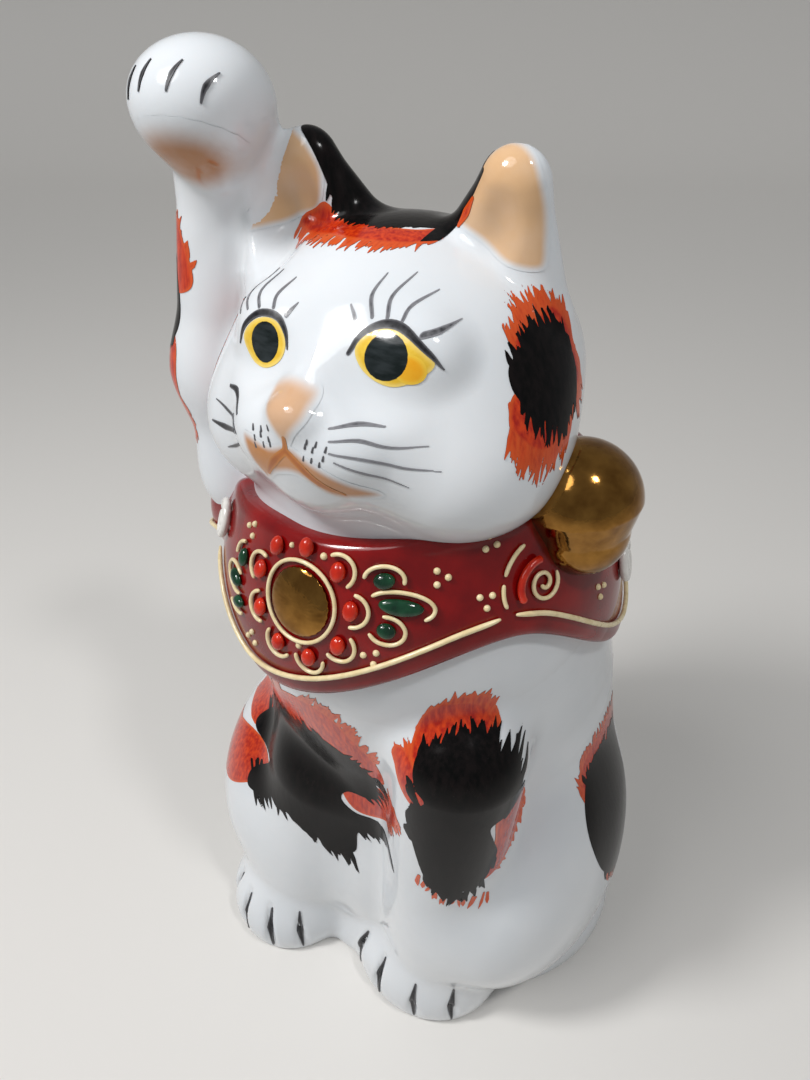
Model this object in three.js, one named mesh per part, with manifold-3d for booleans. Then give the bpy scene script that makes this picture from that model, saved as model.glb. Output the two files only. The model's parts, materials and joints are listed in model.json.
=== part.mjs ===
// Seated beckoning cat in glazed porcelain, right paw raised beside the ear.
// Millimetres. +Z is up, the cat faces -Y, its left side is +X, the table is z = 0.
import * as THREE from 'three';
import Module from 'manifold-3d';

const wasm = await Module();
wasm.setup();

// Driving dimensions
const WALL = 5;              // slip-cast porcelain wall
const GAP = 0.3;             // clearance kept between two pieces
const FACET_SAG = 0.35;      // room for the flats of a faceted surface
const SEAM_Z = 156;          // height of the luted neck seam
const HEAD_Z = 185;          // middle of the skull
const HEAD_Y = -15.5;
const ARM_FOOT_Z = 137;      // the raised arm is luted on above this height
const NECK_Y = -12;          // middle of the neck seam
const BIB_THICK = 2.9;
const CHEST_Y = -8;          // upright axis that bearings on the chest turn about
const VENT_R = 9;            // drain hole under the body
const VENT_Y = 24;
const TRAIL_R = 0.65;         // half width of a trailed slip line
const THIN_R = 0.5;          // and of the finer lines of the ornament
const HEM_LIFT = 6;          // height of the hem line above the edge of the bib
const MEDAL = [-2.3, 147];   // gold disc: bearing in degrees, + to the cat's left, and height
const MEDAL_R = 7.5;
const BEADS = 9;
const BEAD_RING = 11.5;      // distance of the bead middles from the middle of the disc
const FIRST_BEAD = 128;      // clock angle of bead 1, the others follow clockwise
const EAR_DEEP = 1.3;        // an ear is this much thinner front to back than it is wide
const BELL_R = 12.3;
const BELL_AT = [40.2, -16.5, 164.2];
const BELL_FOOT_R = 10;
const BELL_FOOT = [41, -16.3, 158];

const WHITE = { color: 0xe9ecec, roughness: 0.12, metalness: 0 };
const RED = { color: 0x8a0a08, roughness: 0.15, metalness: 0 };
const BEAD_RED = { color: 0xc02010, roughness: 0.12, metalness: 0 };
const GREEN = { color: 0x0c3a1c, roughness: 0.12, metalness: 0 };
const CREAM = { color: 0xe6dcb4, roughness: 0.3, metalness: 0 };
const GOLD = { color: 0xa8752c, roughness: 0.12, metalness: 1 };

// Soft shapes: a shape is a function giving the signed distance from a point to its surface
const blend = (a, b, r) => {
  const h = Math.min(Math.max(0.5 + 0.5 * (b - a) / r, 0), 1);
  return b * (1 - h) + a * h - r * h * (1 - h);
};

const ellipsoid = ([cx, cy, cz], [rx, ry, rz]) => (x, y, z) => {
  const u = [(x - cx) / rx, (y - cy) / ry, (z - cz) / rz];
  const reach = Math.hypot(...u);
  const slope = Math.hypot(u[0] / rx, u[1] / ry, u[2] / rz);
  return reach * (reach - 1) / Math.max(slope, 1e-6);
};

const limb = (from, to, r0, r1) => (x, y, z) => {
  const along = [to[0] - from[0], to[1] - from[1], to[2] - from[2]];
  const away = [x - from[0], y - from[1], z - from[2]];
  const dot = along[0] * away[0] + along[1] * away[1] + along[2] * away[2];
  const t = Math.min(Math.max(dot / (along[0] ** 2 + along[1] ** 2 + along[2] ** 2), 0), 1);
  const miss = away.map((value, i) => value - along[i] * t);
  return Math.hypot(...miss) - (r0 + (r1 - r0) * t);
};

const paired = (shape) => (x, y, z) => shape(Math.abs(x), y, z);

// Steps that build a soft shape up: one shape joined on, or one scooped out
const joined = (shape, r) => (sum, x, y, z) => blend(sum, shape(x, y, z), r);
const scooped = (shape, r) => (sum, x, y, z) => -blend(-sum, shape(x, y, z), r);
const melt = (first, ...changes) => (x, y, z) => changes.reduce(
  (sum, change) => change(sum, x, y, z),
  first(x, y, z),
);

const neck = limb([0, -9, 138], [0, NECK_Y, 164], 38, 34);
const chest = limb([0, 3, 92], [0, -8.5, 129], 48, 45);

const bodyShape = melt(
  ellipsoid([0, 6, 40], [57, 52, 66]),                              // hips
  joined(chest, 14),
  joined(neck, 8),
  joined(paired(ellipsoid([32, -8, 40], [29.5, 42, 42])), 7),       // haunches
  joined(paired(ellipsoid([0, 4, 4], [60, 48, 30])), 5),            // broad seat
  joined(limb([27, -38, 104], [22, -37, 14], 16, 13), 6),           // left foreleg
  joined(limb([-15, -34, 70], [-26, -39, 14], 14, 13), 9),          // belly over the right foot
  joined(ellipsoid([18.5, -33.8, 8], [22.5, 19, 20]), 4),           // left foot
  joined(ellipsoid([-28.5, -38.5, 8], [19, 19, 20]), 4),            // right foot
  joined(limb([-28, -10, 118], [-41, -15, 137], 15, 12.5), 5),      // shoulder of the raised arm
  joined(ellipsoid([12, 50, 24], [10, 11, 12]), 8),                 // bobbed tail
);

const skullShape = melt(
  ellipsoid([0, HEAD_Y, HEAD_Z], [36, 32.5, 27.5]),
  joined(paired(ellipsoid([18, -26, 174], [20.5, 22, 17])), 9),     // cheeks
  joined(ellipsoid([0, -43, 180], [18, 13, 13]), 8),                // muzzle
  joined(paired(ellipsoid([7, -49.5, 181], [8, 5.5, 5.5])), 3),     // whisker pads
  joined(ellipsoid([0, -53, 187], [4.8, 3.6, 3.6]), 3),             // nose
  joined(ellipsoid([0, -46, 172], [8, 6.5, 6]), 4),                 // chin
  scooped(paired(ellipsoid([14, -49.5, 196], [9, 3.3, 6.5])), 5),   // eye hollows
  joined(paired(ellipsoid([14.2, -36.5, 195.3], [9, 7, 7.2])), 4),  // eyes
  joined(neck, 5),
  joined(chest, 5),
);

const thinned = (shape) => (x, y, z) => shape(x, y * EAR_DEEP, z);
const earShape = paired(melt(
  thinned(limb([11.5, -12 * EAR_DEEP, 202], [21, -16.5 * EAR_DEEP, 219.6], 9, 5.6)),
  joined(thinned(limb([23, -13 * EAR_DEEP, 198], [22, -16.5 * EAR_DEEP, 220], 9, 5.4)), 3),
  scooped(ellipsoid([20.5, -33.3, 213], [9.5, 14, 12]), 1.6),       // hollow front
));

// The right ear leans against the raised paw and is broader
const rightEarShape = melt(
  earShape,
  joined(limb([-26, -18.5, 200], [-28.5, -17, 213], 9.5, 6.5), 5),
  scooped(ellipsoid([-24.5, -33.3, 213], [9.5, 14, 11.5]), 1.6),
);

const armShape = melt(
  limb([-33, -12, 128], [-44, -16.5, 148], 14, 12),                 // shoulder
  joined(limb([-44, -16.5, 148], [-48, -18, 174], 12, 11), 8),
  joined(limb([-48, -18, 174], [-42, -17, 214], 11, 10.3), 8),
  joined(limb([-41, -17, 216], [-36.5, -25, 227], 10.2, 9.8), 3),   // wrist
  joined(ellipsoid([-36.7, -27.5, 230.2], [12.9, 12.5, 10]), 7),    // beckoning paw
);

// Distance from a point inside a shape to its surface, looking along a unit direction
function reach(shape, [x, y, z], [dx, dy, dz], offset = 0) {
  let near = 0;
  let far = 120;
  while (far - near > 0.002) {
    const middle = (near + far) / 2;
    const outside = shape(x + dx * middle, y + dy * middle, z + dz * middle) > offset;
    if (outside) {
      far = middle;
    } else {
      near = middle;
    }
  }
  return near;
}

// Closed mesh from rings of equal length, ends closed by one point each
function skin(rings, firstTip, lastTip) {
  const count = rings[0].length;
  const points = [firstTip, ...rings.flat(), lastTip];
  const index = [];
  const at = (row, column) => 1 + row * count + (column % count);
  for (let column = 0; column < count; column += 1) {
    index.push(0, at(0, column + 1), at(0, column));
    for (let row = 0; row + 1 < rings.length; row += 1) {
      index.push(at(row, column), at(row, column + 1), at(row + 1, column));
      index.push(at(row, column + 1), at(row + 1, column + 1), at(row + 1, column));
    }
    index.push(points.length - 1, at(rings.length - 1, column), at(rings.length - 1, column + 1));
  }
  return asGeometry(points, index);
}

function asGeometry(points, index) {
  const geometry = new THREE.BufferGeometry();
  geometry.setAttribute('position', new THREE.Float32BufferAttribute(points.flat(), 3));
  geometry.setIndex(index);
  return geometry;
}

const bearing = (column, columns) => (2 * Math.PI * column) / columns;

// Level slices of a shape, from the bottom up, around an upright axis
function sliced(shape, heights, axisY, columns, offset = 0) {
  const rings = heights.map((z) => Array.from({ length: columns }, (_, column) => {
    const turn = bearing(column, columns);
    const toward = [Math.sin(turn), -Math.cos(turn), 0];
    const r = reach(shape, [0, axisY, z], toward, offset);
    return [toward[0] * r, axisY + toward[1] * r, z];
  }));
  return skin(rings, [0, axisY, heights[0]], [0, axisY, heights[heights.length - 1]]);
}

// A shape seen from one middle point, like a globe, poles below and above
function globed(shape, middle, rows, columns, offset = 0) {
  const spot = (tilt, turn) => {
    const flat = Math.cos(tilt);
    const toward = [flat * Math.sin(turn), -flat * Math.cos(turn), Math.sin(tilt)];
    const r = reach(shape, middle, toward, offset);
    return middle.map((value, i) => value + toward[i] * r);
  };
  const rings = Array.from({ length: rows - 1 }, (_, row) => {
    const tilt = -Math.PI / 2 + (Math.PI * (row + 1)) / rows;
    return Array.from({ length: columns }, (__, column) => spot(tilt, bearing(column, columns)));
  });
  return skin(rings, spot(-Math.PI / 2, 0), spot(Math.PI / 2, 0));
}

const steps = (from, to, count) => Array.from(
  { length: count + 1 },
  (_, i) => from + ((to - from) * i) / count,
);

// three.js geometry to a solid that can be joined and cut
function solid(geometry) {
  const { position } = geometry.attributes;
  const index = geometry.index ? [...geometry.index.array] : steps(0, position.count - 1, position.count - 1);
  const known = new Map();
  const vertices = [];
  const triangles = index.map((i) => {
    const point = [position.getX(i), position.getY(i), position.getZ(i)];
    const key = point.map((value) => Math.round(value * 1e4)).join();
    if (!known.has(key)) {
      known.set(key, known.size);
      vertices.push(...point);
    }
    return known.get(key);
  });
  const kept = [];
  for (let i = 0; i < triangles.length; i += 3) {
    const [a, b, c] = triangles.slice(i, i + 3);
    if (a !== b && b !== c && c !== a) {
      kept.push(a, b, c);
    }
  }
  return new wasm.Manifold(new wasm.Mesh({
    numProp: 3,
    vertProperties: new Float32Array(vertices),
    triVerts: new Uint32Array(kept),
  }));
}

// The biggest piece of a solid that a cut has parted
const largest = (shape) => shape.decompose().sort((a, b) => b.volume() - a.volume())[0];

// Ring sections joined into one endless band
function hoop(rings) {
  const count = rings[0].length;
  const index = [];
  rings.forEach((_, row) => {
    const next = ((row + 1) % rings.length) * count;
    for (let column = 0; column < count; column += 1) {
      const [a, b] = [row * count + column, row * count + ((column + 1) % count)];
      const [c, d] = [next + column, next + ((column + 1) % count)];
      index.push(a, b, c, b, d, c);
    }
  });
  return asGeometry(rings.flat(), index);
}

// Level of an edge round the neck: knots of [bearing, height], eased from one to the next
function edge(knots) {
  return (degrees) => {
    const after = knots.findIndex(([at]) => at >= degrees);
    const [fromAt, fromZ] = knots[Math.max(after - 1, 0)];
    const [toAt, toZ] = knots[after];
    const t = toAt === fromAt ? 0 : (degrees - fromAt) / (toAt - fromAt);
    return fromZ + (toZ - fromZ) * t * t * (3 - 2 * t);
  };
}

// The apron hangs in four scallops: front, both sides and back
const bibBottom = edge([
  [-180, 124], [-132, 134], [-92, 121], [-52, 133], [-19, 120.2],
  [52, 141.3], [106, 119], [140, 134], [180, 124],
]);
const bibTop = edge([
  [-180, 159], [-128, 159], [-104, 141], [-78, 140], [-50, 156], [-12, 159.3], [60, 165], [180, 159],
]);

// Point on the chest at a bearing and height, lifted off the porcelain
function onChest(degrees, z, lift) {
  const turn = THREE.MathUtils.degToRad(degrees);
  const toward = [Math.sin(turn), -Math.cos(turn), 0];
  const r = reach(bodyShape, [0, CHEST_Y, z], toward, lift);
  return [toward[0] * r, CHEST_Y + toward[1] * r, z];
}

function bibBand(grow) {
  const rounding = [[0, 0.45], [0.07, 1], [0.35, 1], [0.65, 1], [0.93, 1], [1, 0.45]];
  const rings = steps(-180, 180, 72).slice(0, -1).map((degrees) => {
    const low = bibBottom(degrees) - grow;
    const high = bibTop(degrees) + grow;
    const at = (t, lift) => onChest(degrees, low + (high - low) * t, lift);
    const inner = rounding.map(([t]) => at(t, -WALL / 2 - grow));
    const outer = rounding.map(([t, full]) => at(t, GAP + BIB_THICK * full + grow));
    return [...inner, ...outer.reverse()];
  });
  return solid(hoop(rings));
}

const BIB_FACE = GAP + BIB_THICK;
const alongChest = (degrees, sideways, z) => {
  const [x, y] = onChest(degrees, z, BIB_FACE);
  return degrees + THREE.MathUtils.radToDeg(sideways / Math.hypot(x, y - CHEST_Y));
};

// Enamel drop that follows the chest: half widths, height, tilt in degrees
function drop([degrees, z], [across, up], height, tilt = 0, columns = 12) {
  const lean = THREE.MathUtils.degToRad(tilt);
  const place = (t, turn, lift) => {
    const u = across * t * Math.cos(turn);
    const v = up * t * Math.sin(turn);
    const sideways = u * Math.cos(lean) - v * Math.sin(lean);
    const rise = u * Math.sin(lean) + v * Math.cos(lean);
    return onChest(alongChest(degrees, sideways, z), z + rise, lift);
  };
  const base = BIB_FACE + GAP;
  const ring = (t, lift) => Array.from(
    { length: columns },
    (_, i) => place(t, bearing(i, columns), lift),
  );
  const rings = [
    ring(0.6, base),
    ring(1, base + height * 0.15),
    ring(0.85, base + height * 0.7),
    ring(0.45, base + height * 0.95),
  ];
  return skin(rings, place(0, 0, base), place(0, 0, base + height));
}

// Line of trailed slip through [bearing, height] knots
function trail(knots, { endless = false, thick = TRAIL_R, samples = 24 } = {}) {
  const lift = BIB_FACE + GAP + thick;
  const spots = knots.map(([degrees, z]) => new THREE.Vector3(degrees, z, 0));
  const flat = new THREE.CatmullRomCurve3(spots, endless);
  const path = steps(0, 1, samples).map((t) => flat.getPoint(t));
  const drawn = endless ? path.slice(0, -1) : path;
  const line = drawn.map(({ x, y }) => new THREE.Vector3(...onChest(x, y, lift)));
  const held = (i) => Math.min(Math.max(i, 0), line.length - 1);
  const neighbour = (i) => line[endless ? (i + line.length) % line.length : held(i)];
  const rings = line.map((middle, i) => {
    const along = neighbour(i + 1).clone().sub(neighbour(i - 1)).normalize();
    const outward = new THREE.Vector3(middle.x, middle.y - CHEST_Y, 0).normalize();
    const side = outward.clone().cross(along).normalize();
    const top = along.clone().cross(side);
    const last = !endless && (i === 0 || i === line.length - 1);
    return Array.from({ length: 6 }, (_, corner) => {
      const turn = bearing(corner, 6);
      const r = last ? thick * 0.6 : thick;
      return middle.clone()
        .addScaledVector(side, r * Math.cos(turn))
        .addScaledVector(top, r * Math.sin(turn))
        .toArray();
    });
  });
  if (endless) {
    return hoop(rings);
  }
  return skin(rings, line[0].toArray(), line[line.length - 1].toArray());
}

const cat = new THREE.Group();
cat.name = 'beckoning_cat';

function add(name, shape, look) {
  let geometry = shape;
  if (shape instanceof wasm.Manifold) {
    const { vertProperties, triVerts } = shape.getMesh();
    geometry = asGeometry(Array.from(vertProperties), Array.from(triVerts));
  }
  geometry.computeVertexNormals();
  const mesh = new THREE.Mesh(geometry, new THREE.MeshStandardMaterial(look));
  mesh.name = name;
  cat.add(mesh);
}

// Porcelain castings
const bodyHeights = [...steps(0, 24, 5), ...steps(31, 115, 12), ...steps(122, SEAM_Z - GAP / 2, 5)];
const bodyOutside = (grow) => solid(sliced(bodyShape, bodyHeights, -4, 44, grow));

function bodyShell() {
  const hollow = sliced(bodyShape, steps(WALL, SEAM_Z + WALL, 12), -4, 22, -WALL);
  const vent = new THREE.CylinderGeometry(VENT_R, VENT_R, 3 * WALL, 20);
  vent.rotateX(Math.PI / 2).translate(0, VENT_Y, 0);
  return bodyOutside(0).subtract(solid(hollow)).subtract(solid(vent));
}

const aboveSeam = (shape) => (x, y, z) => Math.max(shape(x, y, z), SEAM_Z + GAP / 2 - z);
const headMiddle = [0, HEAD_Y, HEAD_Z];
const ear = (shape, side, grow) => solid(globed(shape, [21 * side, -14, 208], 16, 22, grow));

function headOutside(grow) {
  const skull = solid(globed(aboveSeam(skullShape), headMiddle, 30, 44, grow));
  return skull.add(ear(earShape, 1, grow)).add(ear(rightEarShape, -1, grow));
}

function headShell() {
  const hollow = globed(skullShape, headMiddle, 12, 20, -WALL);
  return headOutside(0).subtract(solid(hollow));
}

function raisedArm() {
  const axis = new THREE.CatmullRomCurve3([
    new THREE.Vector3(-33, -12, 122),
    new THREE.Vector3(-44, -16.5, 148),
    new THREE.Vector3(-48, -18, 174),
    new THREE.Vector3(-42, -17, 214),
    new THREE.Vector3(-36.7, -27, 228),
  ]);
  const section = (t, tilt) => {
    const middle = axis.getPoint(t).toArray();
    const along = axis.getTangent(t);
    const side = new THREE.Vector3(0, -1, 0).cross(along).normalize();
    const front = along.clone().cross(side);
    return Array.from({ length: 20 }, (_, column) => {
      const turn = bearing(column, 20);
      const toward = along.clone().multiplyScalar(Math.sin(tilt))
        .addScaledVector(side, Math.cos(turn) * Math.cos(tilt))
        .addScaledVector(front, Math.sin(turn) * Math.cos(tilt))
        .toArray();
      const r = reach(armShape, middle, toward);
      return middle.map((value, i) => value + toward[i] * r);
    });
  };
  const sleeve = steps(0, 1, 22).map((t) => section(t, 0));
  const dome = steps(0.3, 1.4, 4).map((tilt) => section(1, tilt));
  const crown = section(1, Math.PI / 2)[0];
  return skin([...sleeve, ...dome], axis.getPoint(0).toArray(), crown);
}

function pebble(middle, size, turn) {
  const ball = new THREE.SphereGeometry(1, 14, 8).scale(...size).rotateZ(THREE.MathUtils.degToRad(turn));
  return solid(ball.translate(...middle));
}

// Points round the gold disc: bearing and height at a distance and clock angle
function aroundMedal(r, clock) {
  const turn = THREE.MathUtils.degToRad(clock);
  const z = MEDAL[1] + r * Math.sin(turn);
  return [alongChest(MEDAL[0], r * Math.cos(turn), z), z];
}

const bodyGrown = bodyOutside(GAP + FACET_SAG);
const headGrown = headOutside(GAP + FACET_SAG);

add('body_shell', bodyShell(), WHITE);
add('head_shell', headShell(), WHITE);
const luted = bodyGrown.add(headGrown).add(bibBand(GAP + FACET_SAG));
const armAboveBib = solid(raisedArm()).trimByPlane([0, 0, 1], ARM_FOOT_Z);
add('raised_arm', armAboveBib.subtract(luted), WHITE);
add('bib', bibBand(0).subtract(headGrown).subtract(bodyGrown), RED);
const bell = solid(globed(limb(BELL_AT, BELL_FOOT, BELL_R, BELL_FOOT_R), BELL_AT, 20, 32));
add('bell', largest(bell.subtract(luted)), GOLD);
const knotAt = onChest(116, 160, BIB_THICK);
add('knot_leaf', pebble(knotAt, [3.4, 6, 3.6], 26).subtract(headGrown).subtract(bibBand(GAP)), GREEN);

// Gold disc in its slip ring, nine red beads round it, seven of them inside slip scallops
add('medallion', drop(MEDAL, [MEDAL_R, MEDAL_R], 1.6, 0, 28), GOLD);
const ringKnots = steps(0, 360, 16).slice(0, -1).map((clock) => aroundMedal(MEDAL_R + 0.85, clock));
add('medallion_ring', trail(ringKnots, { endless: true, thick: THIN_R, samples: 32 }), CREAM);

// Part of an oval drawn round a spot: bearing and height of points from one clock angle to another
function arc([degrees, z], [across, up], tilt, from, to, count = 8) {
  const lean = THREE.MathUtils.degToRad(tilt);
  return steps(from, to, count).map((clock) => {
    const turn = THREE.MathUtils.degToRad(clock);
    const [u, v] = [across * Math.cos(turn), up * Math.sin(turn)];
    const sideways = u * Math.cos(lean) - v * Math.sin(lean);
    const rise = u * Math.sin(lean) + v * Math.cos(lean);
    return [alongChest(degrees, sideways, z), z + rise];
  });
}

const TOP_BEADS = 2;
for (let i = 0; i < BEADS; i += 1) {
  const clock = FIRST_BEAD - (360 / BEADS) * i;
  const at = aroundMedal(BEAD_RING, clock);
  add(`red_bead_${i + 1}`, drop(at, [1.7, 2.1], 1.8), BEAD_RED);
  if (i >= TOP_BEADS) {
    add(`bead_scallop_${i + 1}`, trail(arc(at, [3.6, 3.3], clock, 75, -100), { thick: THIN_R }), CREAM);
  }
}

// Green leaves either side of the disc: middle, half widths, tilt, and the stretch of slip line round each
const LEAVES = {
  left_upper: { at: [20, 155.4], size: [2.3, 1.6], tilt: 8, line: [170, -20] },
  left_middle: { at: [24.4, 150.6], size: [4.8, 1.7], tilt: -4, line: [155, -45] },
  left_lower: { at: [21.1, 145.8], size: [2.1, 1.6], tilt: -8, line: [110, -150] },
  right_upper: { at: [-25.4, 148.4], size: [1.5, 2.1], tilt: 10, line: [85, 180] },
  right_middle: { at: [-27.8, 142.6], size: [2.6, 1.5], tilt: -20, line: [70, 320] },
  right_lower: { at: [-25, 137.9], size: [2.2, 1.4], tilt: 10, line: [190, 290] },
};

for (const [name, { at, size, tilt, line }] of Object.entries(LEAVES)) {
  add(`leaf_${name}`, drop(at, size, 1.5, tilt), GREEN);
  const around = arc(at, [size[0] + 1.6, size[1] + 1.2], tilt, ...line);
  add(`leaf_line_${name}`, trail(around, { thick: THIN_R }), CREAM);
}

// Hem lines follow the scallops; bearings past the middle of the back run on beyond 180
const hemHeight = (degrees) => bibBottom(degrees > 180 ? degrees - 360 : degrees) + HEM_LIFT;
const hem = (from, to) => trail(
  steps(from, to, 10).map((degrees) => [degrees, hemHeight(degrees)]),
  { samples: 30 },
);
add('hem_line_front', hem(-50, 48.5), CREAM);
add('hem_line_left', hem(52.5, 136), CREAM);
add('hem_line_back', hem(141, 226), CREAM);
add('hem_line_right', hem(-130, -56), CREAM);

// Spiral rosettes
function coil([degrees, z], r, turns, first = 0) {
  return steps(0, 1, 18).map((t) => {
    const turn = 2 * Math.PI * turns * t + THREE.MathUtils.degToRad(first);
    const out = r * (1 - 0.85 * t);
    const height = z + out * Math.sin(turn);
    return [alongChest(degrees, out * Math.cos(turn), height), height];
  });
}
const SWIRL = [61.5, 151.5];
add('swirl_red', trail(arc(SWIRL, [5.5, 5], 0, 205, 90, 10), { thick: 0.9, samples: 30 }), BEAD_RED);
add('swirl_spiral', trail(coil(SWIRL, 3.7, -1.5, 20), { thick: THIN_R, samples: 36 }), CREAM);
add('swirl_arc_upper', trail(arc(SWIRL, [9, 9], 0, 158, 112), { thick: THIN_R, samples: 10 }), CREAM);
add('swirl_arc_lower', trail(arc(SWIRL, [9, 8], 0, 200, 166), { thick: THIN_R, samples: 10 }), CREAM);
add('rosette_left', trail(coil([102, 140], 5, 1.8), { thick: 1.1, samples: 36 }), CREAM);
add('rosette_right', trail(coil([-47, 147.5], 4.6, -1.6, 180), { thick: 1.1, samples: 36 }), CREAM);

export default cat;
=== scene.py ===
"""Looks of the glazed porcelain beckoning cat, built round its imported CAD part."""
import json
import math

import bpy
import numpy as np
import openvdb
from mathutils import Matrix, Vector


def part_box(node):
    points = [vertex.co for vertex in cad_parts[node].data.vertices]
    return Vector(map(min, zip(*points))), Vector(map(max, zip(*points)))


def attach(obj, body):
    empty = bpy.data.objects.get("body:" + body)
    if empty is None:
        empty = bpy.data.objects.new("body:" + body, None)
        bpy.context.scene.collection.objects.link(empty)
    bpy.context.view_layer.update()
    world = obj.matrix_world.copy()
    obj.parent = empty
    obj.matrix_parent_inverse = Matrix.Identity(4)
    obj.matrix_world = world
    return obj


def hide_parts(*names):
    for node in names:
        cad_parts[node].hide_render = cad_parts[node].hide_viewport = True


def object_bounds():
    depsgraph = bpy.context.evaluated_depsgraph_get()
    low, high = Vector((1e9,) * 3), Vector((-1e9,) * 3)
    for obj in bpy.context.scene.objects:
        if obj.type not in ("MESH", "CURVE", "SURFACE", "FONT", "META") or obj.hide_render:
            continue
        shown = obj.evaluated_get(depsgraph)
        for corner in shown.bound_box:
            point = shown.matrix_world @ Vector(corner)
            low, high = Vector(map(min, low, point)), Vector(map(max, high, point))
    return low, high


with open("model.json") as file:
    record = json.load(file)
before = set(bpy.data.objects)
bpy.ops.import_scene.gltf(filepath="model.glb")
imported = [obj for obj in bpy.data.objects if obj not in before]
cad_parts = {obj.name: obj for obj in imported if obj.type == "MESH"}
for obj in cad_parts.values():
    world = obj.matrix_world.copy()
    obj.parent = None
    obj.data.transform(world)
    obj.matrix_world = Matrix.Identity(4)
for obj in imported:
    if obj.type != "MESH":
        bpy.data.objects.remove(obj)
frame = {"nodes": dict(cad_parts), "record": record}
start_low, start_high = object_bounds()

# The shapes below are in millimetres for a cat 240 mm tall; MM carries them to the frame's real size.
CAT_TALL = 240.61
MM = (start_high.z - start_low.z) / CAT_TALL
VOXEL = 0.9      # size of the surface cells
BLOCK = 4                               # cells to a side of the blocks that are skipped or worked out whole
GLAZE_STEP = 0.02                       # height one luted piece stands over its neighbour
CHEST_Y = -8.0                          # upright axis that bearings on the chest turn about
BIB_THICK = 3.4
BELL_R = 12.3
BELL_MOUTH_R = 10.0
BELL_MOUTH_AT = (0.8, 0.2, -6.2)        # from the middle of the bell's crown
VENT_R = 9.0
VENT_AT = (0.0, 24.0)
VENT_DEPTH = 25                         # how far the drain hole's cut reaches up
NORMAL_STEP = 0.15                      # spacing at which a surface's facing is measured
SHEET_AWAY = 30.0                       # distance from which a drawn mark is laid on the cat
MARK_ROOT = 0.15                        # how deep a slab of enamel sits in the glaze
GRAZING = 0.12                          # a mark stops where the surface turns this far from the sheet


# ---------------------------------------------------------------- soft shapes
# A shape takes points (n, 3) in mm and returns signed distances, negative inside.

def blend(a, b, r):
    h = np.clip(0.5 + 0.5 * (b - a) / r, 0, 1)
    return b * (1 - h) + a * h - r * h * (1 - h)


def carve(a, b, r):
    """Shape a with shape b cut out of it."""
    return -blend(-a, b, r)


def ball(p, middle, radii):
    q = p - np.array(middle, p.dtype)
    r = np.array(radii, p.dtype)
    reach = np.linalg.norm(q / r, axis=-1)
    slope = np.linalg.norm(q / (r * r), axis=-1)
    return reach * (reach - 1) / np.maximum(slope, 1e-6)


def limb(p, start, end, r0, r1):
    a = np.array(start, p.dtype)
    along = np.array(end, p.dtype) - a
    t = np.clip(((p - a) @ along) / (along @ along), 0, 1)
    return np.linalg.norm(p - a - t[..., None] * along, axis=-1) - (r0 + (r1 - r0) * t)


def mirrored(p):
    q = p.copy()
    q[..., 0] = np.abs(q[..., 0])
    return q


def neck(p):
    return limb(p, (0, -9, 138), (0, -12, 164), 38, 34)


FEET = ((18.5, -35.8, 22.5), (-28.5, -40.5, 19.0))
TOE_TURNS = (-52, -20, 14, 46)


def foot(p, x, y, wide):
    """One front foot, its toes parted by shallow grooves."""
    f = ball(p, (x, y + 2, 8), (wide, 19, 20))
    for turn in TOE_TURNS:
        a = np.radians(turn)
        tip = (x + wide * 1.05 * np.sin(a), y - 18.0 * np.cos(a), 2)
        top = (x + wide * 0.74 * np.sin(a), y - 13.6 * np.cos(a), 20)
        f = carve(f, limb(p, tip, top, 1.0, 0.3), 2.5)
    return f


def body(p):
    q = mirrored(p)
    f = ball(p, (0, 6, 40), (57, 52, 66))
    f = blend(f, limb(p, (0, 3, 92), (0, -8.5, 129), 48, 45), 14)
    f = blend(f, neck(p), 8)
    f = blend(f, ball(q, (32, -8, 40), (29.5, 42, 42)), 7)
    f = blend(f, ball(q, (0, 4, 4), (60, 48, 30)), 5)
    f = blend(f, limb(p, (27, -38, 104), (22, -37, 14), 16, 13), 6)
    f = blend(f, limb(p, (-15, -34, 70), (-26, -39, 14), 14, 13), 9)
    for place in FEET:
        f = blend(f, foot(p, *place), 4)
    f = blend(f, limb(p, (-28, -10, 118), (-41, -15, 137), 15, 12.5), 5)
    f = blend(f, ball(p, (12, 50, 24), (10, 11, 12)), 8)
    return carve(f, p[..., 2], 1.0)


def ear(q):
    """Broad ear with a hollow front, on the mirrored points."""
    flat = q * np.array([1, 1.3, 1], q.dtype)
    inner = limb(flat, (11.5, -12 * 1.3, 202), (21, -16.5 * 1.3, 219.6), 9, 5.6)
    outer = limb(flat, (23, -13 * 1.3, 198), (22, -16.5 * 1.3, 220), 9, 5.4)
    return carve(blend(inner, outer, 3) / 1.15, ball(q, (20.5, -33.3, 213), (9.5, 14, 12)), 1.6)


def head(p):
    q = mirrored(p)
    f = ball(p, (0, -15.5, 185), (36, 32.5, 27.5))
    f = blend(f, ball(q, (18, -26, 174), (20.5, 22, 17)), 9)
    f = blend(f, ball(p, (0, -43, 180), (18, 13, 13)), 8)
    f = blend(f, ball(q, (7, -49.5, 181), (8, 5.5, 5.5)), 3)
    f = blend(f, ball(p, (0, -53, 187), (4.8, 3.6, 3.6)), 3)
    f = blend(f, ball(p, (0, -46, 172), (8, 6.5, 6)), 4)
    f = carve(f, ball(q, (14, -49.5, 196), (9, 3.3, 6.5)), 5)
    f = blend(f, ball(q, (14.2, -36.5, 195.3), (9, 7.0, 7.2)), 4)
    f = blend(f, ear(q), 3.5)
    f = blend(f, limb(p, (-26, -18.5, 200), (-28.5, -17, 213), 9.5, 6.5), 5)
    f = carve(f, ball(p, (-24.5, -33.3, 213), (9.5, 14, 11.5)), 1.6)
    return blend(f, neck(p), 5)


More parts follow.
